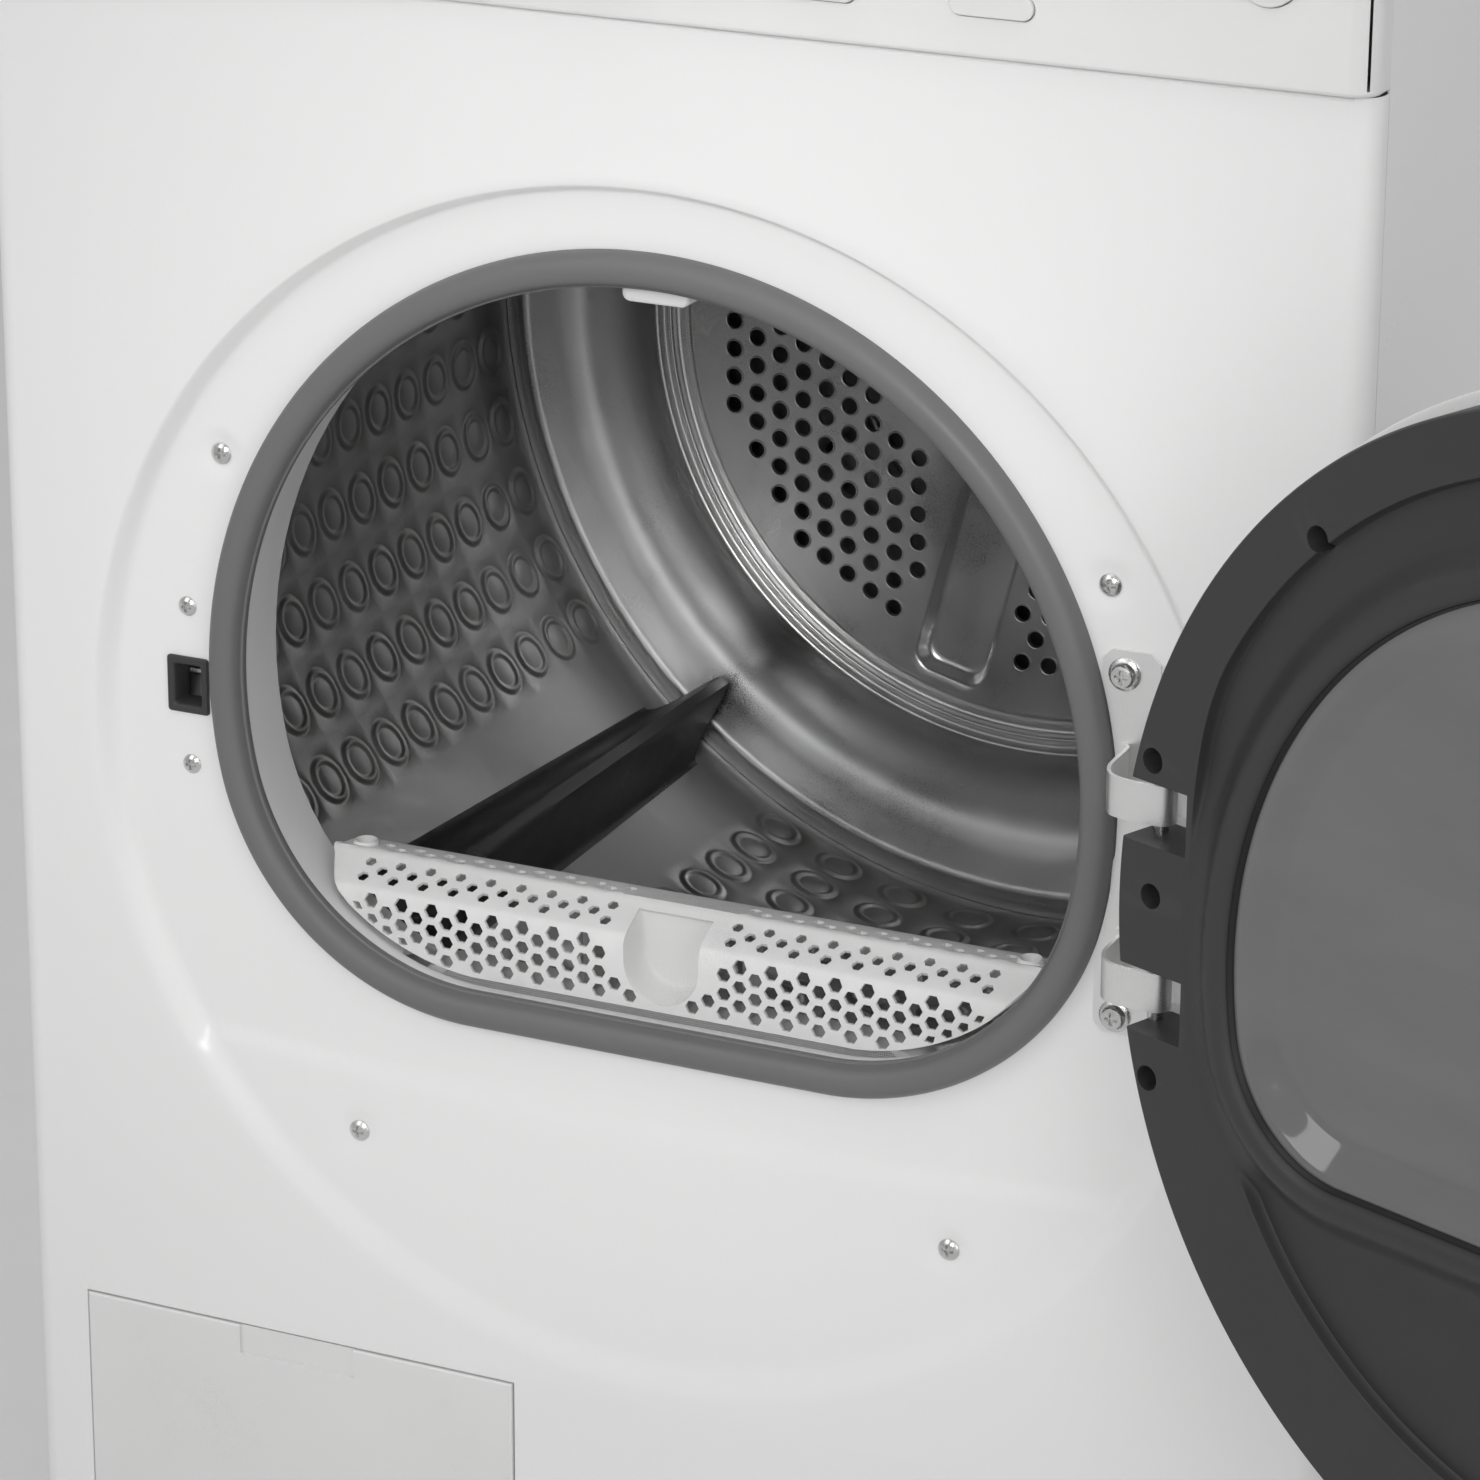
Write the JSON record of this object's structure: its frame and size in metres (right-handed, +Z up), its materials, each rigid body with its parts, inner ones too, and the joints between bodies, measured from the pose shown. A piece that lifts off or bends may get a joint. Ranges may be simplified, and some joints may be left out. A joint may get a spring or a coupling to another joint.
{
  "type": "clothes dryer",
  "caption": "Free-standing front-loading clothes dryer with a round side-hung glazed door that opens wide, a perforated drum, a lift-out lint filter and a control band.",
  "frame": {"origin": "on the floor, at the centre of the four levelling feet", "axes": "+Z up, +X to the right seen from the front, +Y towards the back"},
  "size_m": [0.9748, 0.7787, 0.845],
  "materials": {
    "white_enamel": "satin enamel, fine orange peel",
    "white_plastic": "satin moulded",
    "white_worktop": "laminated board, satin",
    "filter_plastic": "satin moulded",
    "grey_plastic": "matte moulded",
    "clear_plastic": "translucent moulded",
    "anthracite_plastic": "satin moulded",
    "black_plastic": "satin moulded",
    "display_black": "gloss",
    "drum_steel": "brushed round the drum",
    "bright_steel": "bright zinc",
    "galvanised_steel": "galvanised",
    "cast_aluminium": "as cast",
    "bearing_bronze": "sintered",
    "grey_rubber": "matte",
    "black_rubber": "matte",
    "felt": "needled felt",
    "smoked_glass": "smoked, gloss"
  },
  "bodies": {
    "cabinet": {"base_pan": "galvanised_steel", "container_tray": "grey_plastic", "control_fascia": "white_plastic", "display_window": "display_black", "door_seal": "grey_rubber", "drain_pump": "grey_plastic", "drum_belt": "black_rubber", "drum_felt": "felt", "fan_housing": "grey_plastic", "filter_housing": "grey_plastic", "flap_pins": "bright_steel", "front_bulkhead": "grey_plastic", "front_panel": "white_enamel", "front_screws": "bright_steel", "heat_exchanger": "cast_aluminium", "heater": "galvanised_steel", "hinge_plate": "bright_steel", "lamp_lens": "white_plastic", "left_side_panel": "white_enamel", "levelling_feet": "black_plastic", "mains_inlet": "black_plastic", "motor_housing": "cast_aluminium", "rear_bearing": "bearing_bronze", "rear_duct_cover": "grey_plastic", "rear_panel": "galvanised_steel", "right_side_panel": "white_enamel", "roller_axles": "galvanised_steel", "strike_socket": "anthracite_plastic", "worktop": "white_worktop"},
    "door": {"door_inner_frame": "anthracite_plastic", "door_outer_ring": "white_plastic", "door_window_cover": "display_black", "door_glass": "smoked_glass", "glass_gasket": "black_rubber", "latch_hook": "bright_steel", "door_screws": "bright_steel", "hinge_pin": "bright_steel"},
    "drum": {"drum_shell": "drum_steel", "drum_back": "drum_steel", "drum_shaft": "galvanised_steel", "lifter_1": "black_plastic", "lifter_2": "black_plastic", "lifter_3": "black_plastic"},
    "rotor": {"motor_rotor": "galvanised_steel", "process_fan": "grey_plastic"},
    "left_roller": {"support_roller_left": "black_plastic"},
    "right_roller": {"support_roller_right": "black_plastic"},
    "idler": {"idler_arm": "galvanised_steel", "idler_spring": "galvanised_steel"},
    "idler_wheel": {"idler_roller": "grey_plastic"},
    "catch": {"latch_catch": "bright_steel"},
    "knob": {"programme_knob": "white_plastic"},
    "power_key": {"power_button": "white_plastic"},
    "start_key": {"start_button": "white_plastic"},
    "option_key_1": {"option_button_1": "white_plastic"},
    "option_key_2": {"option_button_2": "white_plastic"},
    "drawer": {"water_container": "clear_plastic", "container_front": "white_plastic"},
    "filter": {"filter_cassette": "filter_plastic"},
    "flap": {"service_flap": "white_plastic"}
  },
  "joints": [
    {"name": "door_hinge", "type": "hinge", "parent": "cabinet", "child": "door", "pos_m": [0.232, -0.268, 0.427], "axis": [0, 0, 1], "range_deg": [-158, 0]},
    {"name": "drum_spin", "type": "hinge", "parent": "cabinet", "child": "drum", "pos_m": [0, 0, 0.5028], "axis": [0, 1, 0], "continuous": true},
    {"name": "motor_spin", "type": "hinge", "parent": "cabinet", "child": "rotor", "pos_m": [0.17, 0, 0.118], "axis": [0, 1, 0], "continuous": true},
    {"name": "left_roller_spin", "type": "hinge", "parent": "cabinet", "child": "left_roller", "pos_m": [-0.17445, 0, 0.25366], "axis": [0, 1, 0], "continuous": true},
    {"name": "right_roller_spin", "type": "hinge", "parent": "cabinet", "child": "right_roller", "pos_m": [0.17445, 0, 0.25366], "axis": [0, 1, 0], "continuous": true},
    {"name": "idler_pivot", "type": "hinge", "parent": "cabinet", "child": "idler", "pos_m": [0.062, -0.097, 0.07], "axis": [0, 1, 0], "range_deg": [0, 12], "stiffness_Nm_per_rad": 0.6, "springref_deg": -20.05},
    {"name": "idler_spin", "type": "hinge", "parent": "idler", "child": "idler_wheel", "pos_m": [0.1133, 0, 0.11513], "axis": [0, 1, 0], "continuous": true},
    {"name": "knob_turn", "type": "hinge", "parent": "cabinet", "child": "knob", "pos_m": [-0.018, 0, 0.779], "axis": [0, 1, 0], "continuous": true},
    {"name": "power_key_press", "type": "slide", "parent": "cabinet", "child": "power_key", "axis": [0, 1, 0], "range_m": [0, 0.0015], "stiffness_N_per_m": 600},
    {"name": "start_key_press", "type": "slide", "parent": "cabinet", "child": "start_key", "axis": [0, 1, 0], "range_m": [0, 0.0015], "stiffness_N_per_m": 600},
    {"name": "option_key_1_press", "type": "slide", "parent": "cabinet", "child": "option_key_1", "axis": [0, 1, 0], "range_m": [0, 0.0015], "stiffness_N_per_m": 600},
    {"name": "option_key_2_press", "type": "slide", "parent": "cabinet", "child": "option_key_2", "axis": [0, 1, 0], "range_m": [0, 0.0015], "stiffness_N_per_m": 600},
    {"name": "drawer_slide", "type": "slide", "parent": "cabinet", "child": "drawer", "axis": [0, -1, 0], "range_m": [0, 0.34]},
    {"name": "filter_lift", "type": "slide", "parent": "cabinet", "child": "filter", "axis": [0, 0, 1], "range_m": [0, 0.18]},
    {"name": "flap_hinge", "type": "hinge", "parent": "cabinet", "child": "flap", "pos_m": [-0.165, -0.24, 0.038], "axis": [1, 0, 0], "range_deg": [0, 85]},
    {"name": "catch_slide", "type": "slide", "parent": "cabinet", "child": "catch", "axis": [0, 0, 1], "range_m": [0, 0.003], "stiffness_N_per_m": 400, "springref_m": -0.001}
  ],
  "couplings": [
    {"joint": "motor_spin", "follows": "drum_spin", "ratio": 31.533},
    {"joint": "left_roller_spin", "follows": "drum_spin", "ratio": -14.19},
    {"joint": "right_roller_spin", "follows": "drum_spin", "ratio": -14.19},
    {"joint": "idler_spin", "follows": "drum_spin", "ratio": -18.92}
  ]
}
